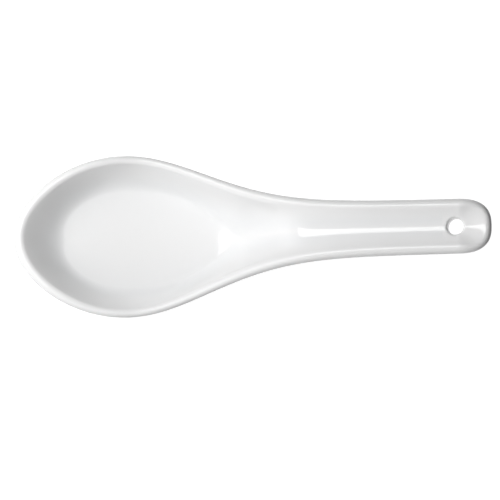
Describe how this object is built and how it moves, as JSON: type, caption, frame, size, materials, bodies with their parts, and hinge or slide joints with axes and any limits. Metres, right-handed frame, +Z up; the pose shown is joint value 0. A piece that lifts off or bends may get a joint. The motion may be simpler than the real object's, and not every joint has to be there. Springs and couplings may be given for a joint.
{
  "type": "chinese soup spoon",
  "caption": "Glazed porcelain soup spoon with a deep oval bowl on a flat bare foot and a rising channelled handle with a hanging hole.",
  "frame": {"origin": "on the underside of the foot, in the plane it stands on, below the widest place of the bowl", "axes": "+X from the bowl towards the handle's end, +Y to the left of the handle seen from its end, +Z up"},
  "size_m": [0.1361, 0.0466, 0.0363],
  "materials": {
    "porcelain": "fired white porcelain body, under the glaze",
    "bare_foot": "unglazed, fine matt, lightly worn",
    "glaze": "clear gloss glaze over white porcelain"
  },
  "bodies": {
    "root": {"bowl": "porcelain", "handle": "porcelain", "foot": "bare_foot", "bowl_glaze": "glaze", "handle_glaze": "glaze", "hole_glaze": "glaze"}
  },
  "joints": []
}
